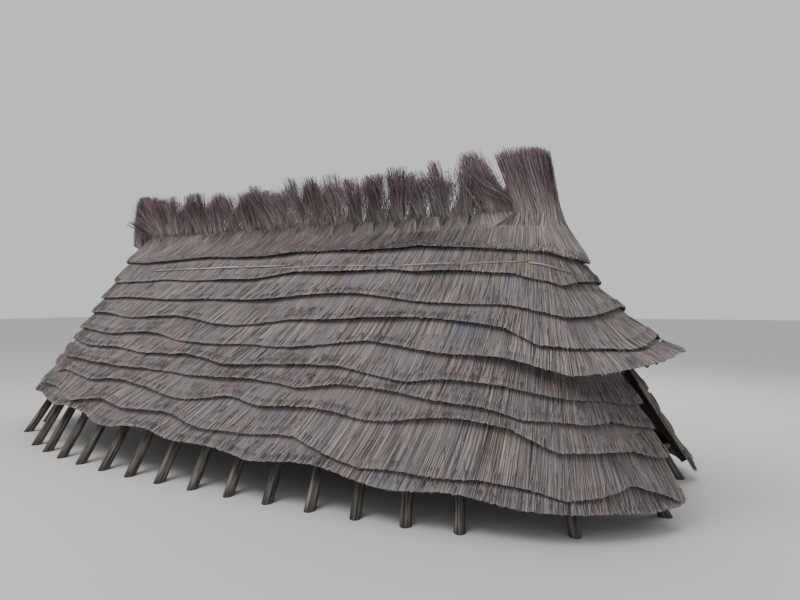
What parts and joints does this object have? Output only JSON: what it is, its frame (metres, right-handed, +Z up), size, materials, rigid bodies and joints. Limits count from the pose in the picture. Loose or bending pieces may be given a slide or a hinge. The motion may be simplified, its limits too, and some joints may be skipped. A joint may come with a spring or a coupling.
{
  "type": "bronze age longhouse",
  "caption": "Reed-thatched A-frame longhouse on an oval plan, with lapped courses, a crest of crossed reed tips and a flared hood over a triangular doorway.",
  "frame": {"origin": "middle of the bounding box at the lowest ground, where the rafters' feet stand", "axes": "+X along the ridge towards the doorway, +Z up"},
  "size_m": [11.779, 5.4905, 4.32],
  "materials": {
    "reed": "weathered reed thatch, matt",
    "reed_butts": "cut ends of weathered reed, matt",
    "reed_tips": "reddish brown reed tips, matt",
    "log": "weathered grey-brown pole, matt",
    "rod": "pale hazel rod, matt"
  },
  "bodies": {
    "root": {"thatch_crest_near": "reed_tips", "thatch_crest_far": "reed_tips", "thatch_crest_front": "reed_tips", "thatch_crest_rear": "reed_tips", "thatch_hooded_course_1": "reed", "thatch_hooded_course_2": "reed_butts", "thatch_hooded_course_3": "reed", "thatch_hooded_course_4": "reed_butts", "thatch_wall_course_5": "reed", "thatch_wall_course_6": "reed_butts", "thatch_wall_course_7": "reed", "thatch_wall_course_8": "reed_butts", "thatch_wall_course_9": "reed", "tying_rod_near": "rod", "tying_rod_far": "rod", "near_rail_upper": "log", "far_rail_upper": "log", "rear_hoop_upper": "log", "hood_hoop_upper": "log", "near_rail_middle": "log", "far_rail_middle": "log", "rear_hoop_middle": "log", "hood_hoop_middle": "log", "near_rail_lower": "log", "far_rail_lower": "log", "rear_hoop_lower": "log", "rafter_pair_1": "log", "rafter_pair_2": "log", "rafter_pair_3": "log", "rafter_pair_4": "log", "rafter_pair_5": "log", "rafter_pair_6": "log", "rafter_pair_7": "log", "rafter_pair_8": "log", "rafter_pair_9": "log", "rafter_pair_10": "log", "rafter_pair_11": "log", "rafter_pair_12": "log", "rafter_pair_13": "log", "rafter_pair_14": "log", "rear_rafter_middle": "log", "rear_rafter_near_inner": "log", "rear_rafter_far_inner": "log", "rear_rafter_near_outer": "log", "rear_rafter_far_outer": "log", "front_corner_rafter_near": "log", "front_corner_rafter_far": "log", "door_rafter_near": "log", "door_rafter_far": "log", "ridge_pole": "log", "hood_rafter_near": "log", "hood_rafter_middle": "log", "hood_rafter_far": "log"}
  },
  "joints": []
}
